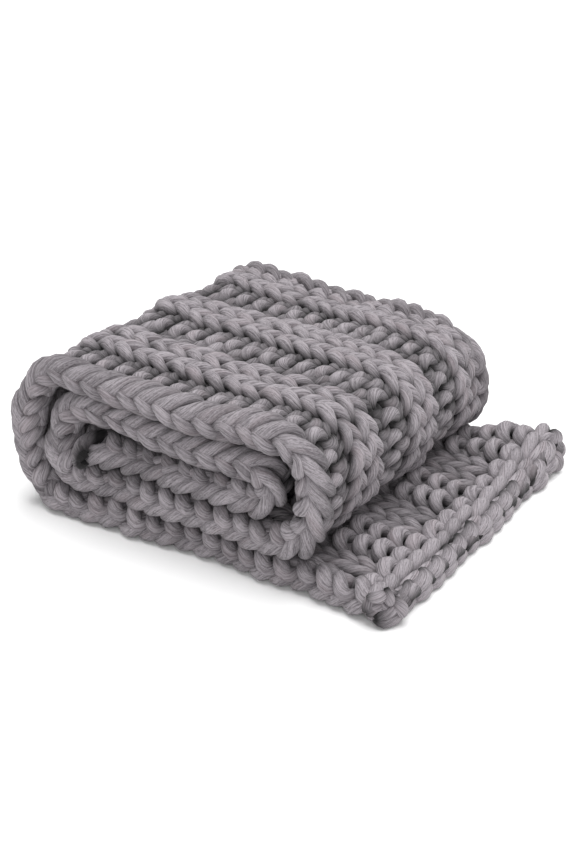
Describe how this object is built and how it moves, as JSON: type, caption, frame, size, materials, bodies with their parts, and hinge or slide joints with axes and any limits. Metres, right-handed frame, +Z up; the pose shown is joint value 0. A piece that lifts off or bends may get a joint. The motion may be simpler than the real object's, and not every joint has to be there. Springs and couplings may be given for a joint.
{
  "type": "chunky knit blanket, rolled with a flat tail",
  "caption": "Chunky grey ribbed knit blanket, rolled into a flattened spiral, with its outer end lying flat beside the roll.",
  "frame": {"origin": "centre of the resting footprint, on the floor", "axes": "+X along the winding, from the roll's closed end to the tip of the flat tail; +Y along the roll's axis, from the front edge of the cloth to the back edge; +Z up"},
  "size_m": [0.7584, 0.6672, 0.2825],
  "materials": {
    "yarn": "matte"
  },
  "bodies": {
    "root": {"blanket": "yarn"}
  },
  "joints": []
}
